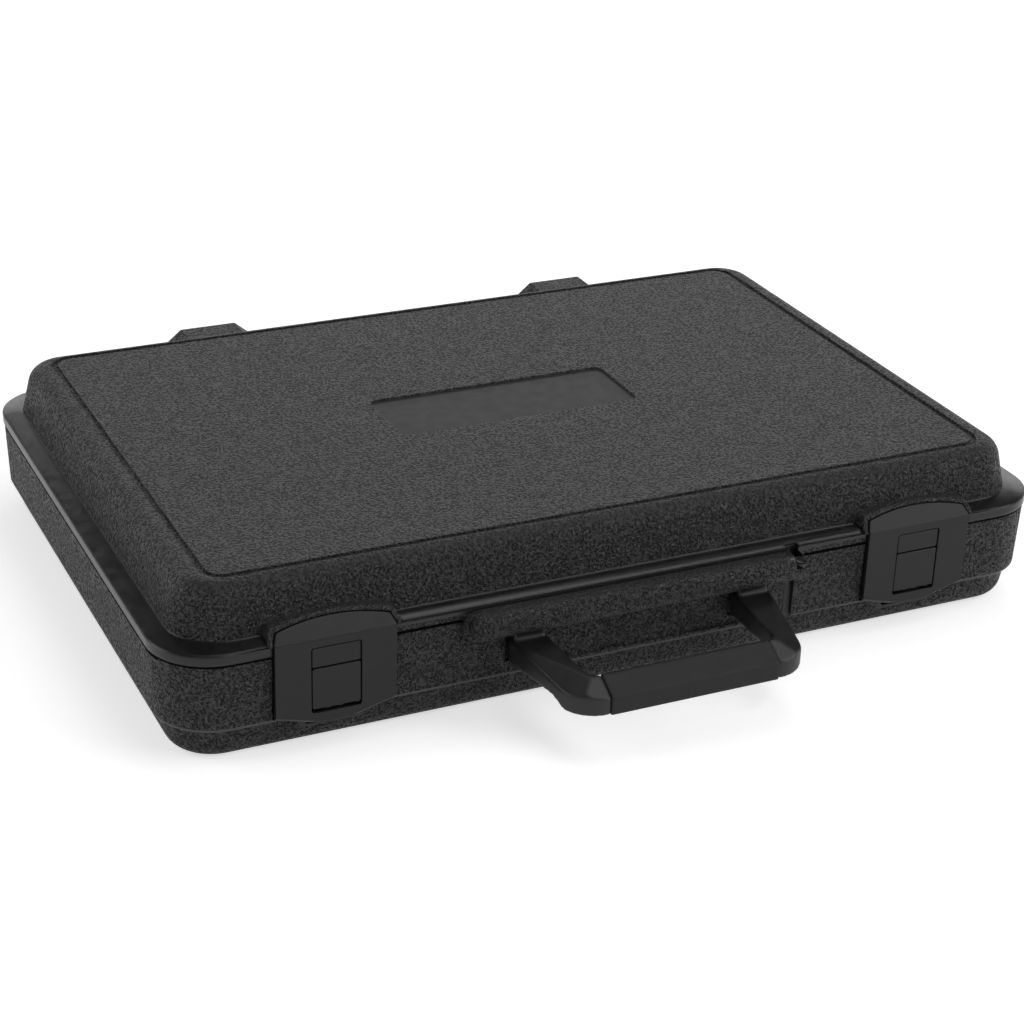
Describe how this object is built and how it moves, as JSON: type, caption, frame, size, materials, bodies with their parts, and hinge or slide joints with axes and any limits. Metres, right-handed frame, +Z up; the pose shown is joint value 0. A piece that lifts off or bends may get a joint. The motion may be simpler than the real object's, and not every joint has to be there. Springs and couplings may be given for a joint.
{
  "type": "otoscope carry case",
  "caption": "Low rectangular moulded carry case for an otoscope set, with a hinged lid, push-button latches, a swinging front handle and a die-cut foam interior.",
  "frame": {"origin": "middle of the case's footprint, on the resting face", "axes": "+X along the front to the right as seen from the front, -Y towards the handle, +Z up"},
  "size_m": [0.4, 0.3338, 0.0718],
  "materials": {
    "shell_plastic": "pebbled satin",
    "latch_plastic": "satin",
    "handle_plastic": "satin",
    "grip_rubber": "satin",
    "plug_plastic": "gloss",
    "foam": "matt open-cell foam",
    "steel": "plain drawn",
    "spring_steel": "tempered"
  },
  "bodies": {
    "base": {"base_shell": "shell_plastic", "foam_liner": "foam", "foam_tray": "foam", "hinge_pin_left": "steel", "hinge_pin_right": "steel", "handle_rod": "steel", "blow_plug": "plug_plastic"},
    "lid": {"lid_shell": "shell_plastic", "lid_pad": "foam", "latch_anchor_left": "latch_plastic", "latch_anchor_right": "latch_plastic"},
    "latch_left": {"latch_plate_left": "latch_plastic", "latch_cap_left": "latch_plastic", "button_spring_left": "spring_steel"},
    "latch_right": {"latch_plate_right": "latch_plastic", "latch_cap_right": "latch_plastic", "button_spring_right": "spring_steel"},
    "button_left": {"latch_button_left": "latch_plastic"},
    "button_right": {"latch_button_right": "latch_plastic"},
    "handle": {"handle_bail": "handle_plastic", "handle_grip": "grip_rubber"}
  },
  "joints": [
    {"name": "lid_hinge", "type": "hinge", "parent": "base", "child": "lid", "pos_m": [0, 0.1426, 0.045], "axis": [-1, 0, 0], "range_deg": [0, 105]},
    {"name": "latch_hinge_left", "type": "hinge", "parent": "lid", "child": "latch_left", "pos_m": [-0.1323, -0.1382, 0.0495], "axis": [-1, 0, 0], "range_deg": [0, 100]},
    {"name": "latch_hinge_right", "type": "hinge", "parent": "lid", "child": "latch_right", "pos_m": [0.1323, -0.1382, 0.0495], "axis": [-1, 0, 0], "range_deg": [0, 100]},
    {"name": "button_slide_left", "type": "slide", "parent": "latch_left", "child": "button_left", "axis": [0, 0, -1], "range_m": [0, 0.0012], "stiffness_N_per_m": 400, "deforming": ["button_spring_left"]},
    {"name": "button_slide_right", "type": "slide", "parent": "latch_right", "child": "button_right", "axis": [0, 0, -1], "range_m": [0, 0.0012], "stiffness_N_per_m": 400, "deforming": ["button_spring_right"]},
    {"name": "handle_swing", "type": "hinge", "parent": "base", "child": "handle", "pos_m": [0, -0.1386, 0.0402], "axis": [-1, 0, 0], "range_deg": [0, 20]}
  ]
}
